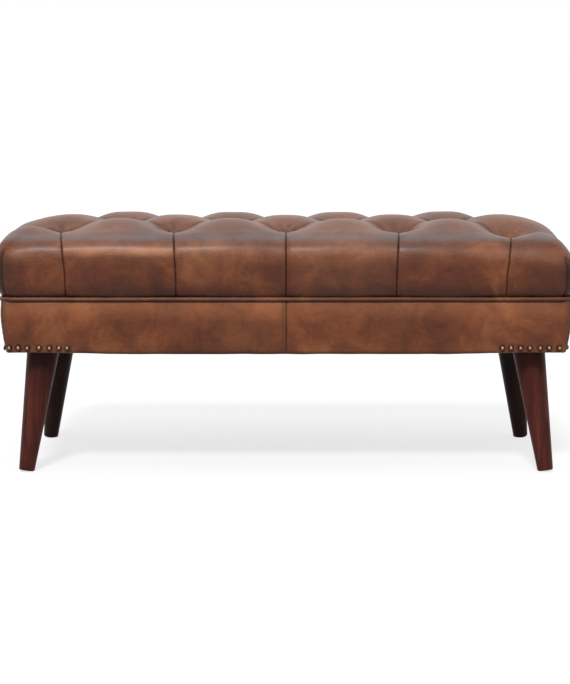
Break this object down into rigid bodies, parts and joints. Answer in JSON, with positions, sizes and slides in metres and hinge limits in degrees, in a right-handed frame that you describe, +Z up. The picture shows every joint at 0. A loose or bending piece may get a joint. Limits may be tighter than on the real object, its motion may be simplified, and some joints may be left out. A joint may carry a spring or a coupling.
{
  "type": "upholstered bench",
  "caption": "Long bench with a deep diamond-tufted brown leather seat, piped edge, leather band with brass nails at the corners, and splayed turned wooden legs.",
  "frame": {"origin": "on the floor under the middle of the bench", "axes": "+X along the bench to its right end as seen from the front, +Y from front to back, +Z up"},
  "size_m": [1.1, 0.44, 0.49],
  "materials": {
    "leather_seat": "satin",
    "leather_band": "satin",
    "leather_piping": "satin",
    "leather_button": "satin",
    "leg_wood": "satin",
    "frame_wood": "matte",
    "dowel_wood": "matte",
    "deck_plywood": "matte",
    "nail_brass": "satin",
    "steel": "satin",
    "foam": "matte",
    "wadding": "matte",
    "twine": "matte",
    "tack_card": "matte",
    "dust_cover_cloth": "matte"
  },
  "bodies": {
    "root": {"seat_cover": "leather_seat", "band_front_left": "leather_band", "band_front_right": "leather_band", "band_back_left": "leather_band", "band_back_right": "leather_band", "band_left": "leather_band", "band_right": "leather_band", "piping_cover": "leather_piping", "tuft_buttons": "leather_button", "leg_front_left": "leg_wood", "leg_front_right": "leg_wood", "leg_back_left": "leg_wood", "leg_back_right": "leg_wood", "rail_front": "frame_wood", "rail_back": "frame_wood", "rail_left": "frame_wood", "rail_right": "frame_wood", "cross_rail_left": "frame_wood", "cross_rail_right": "frame_wood", "corner_block_front_left": "frame_wood", "corner_block_front_right": "frame_wood", "corner_block_back_left": "frame_wood", "corner_block_back_right": "frame_wood", "rail_dowels": "dowel_wood", "seat_deck": "deck_plywood", "nails_front_left": "nail_brass", "nails_front_right": "nail_brass", "nails_back_left": "nail_brass", "nails_back_right": "nail_brass", "leg_hanger_bolts": "steel", "leg_inserts": "steel", "corner_block_screws": "steel", "deck_brackets": "steel", "deck_bracket_screws": "steel", "dust_cover_staples": "steel", "twine_washers": "steel", "foam_pad": "foam", "wadding": "wadding", "rail_padding_front": "wadding", "rail_padding_back": "wadding", "rail_padding_left": "wadding", "rail_padding_right": "wadding", "tuft_twines": "twine", "piping_cord": "twine", "tack_strips": "tack_card", "dust_cover": "dust_cover_cloth"}
  },
  "joints": []
}
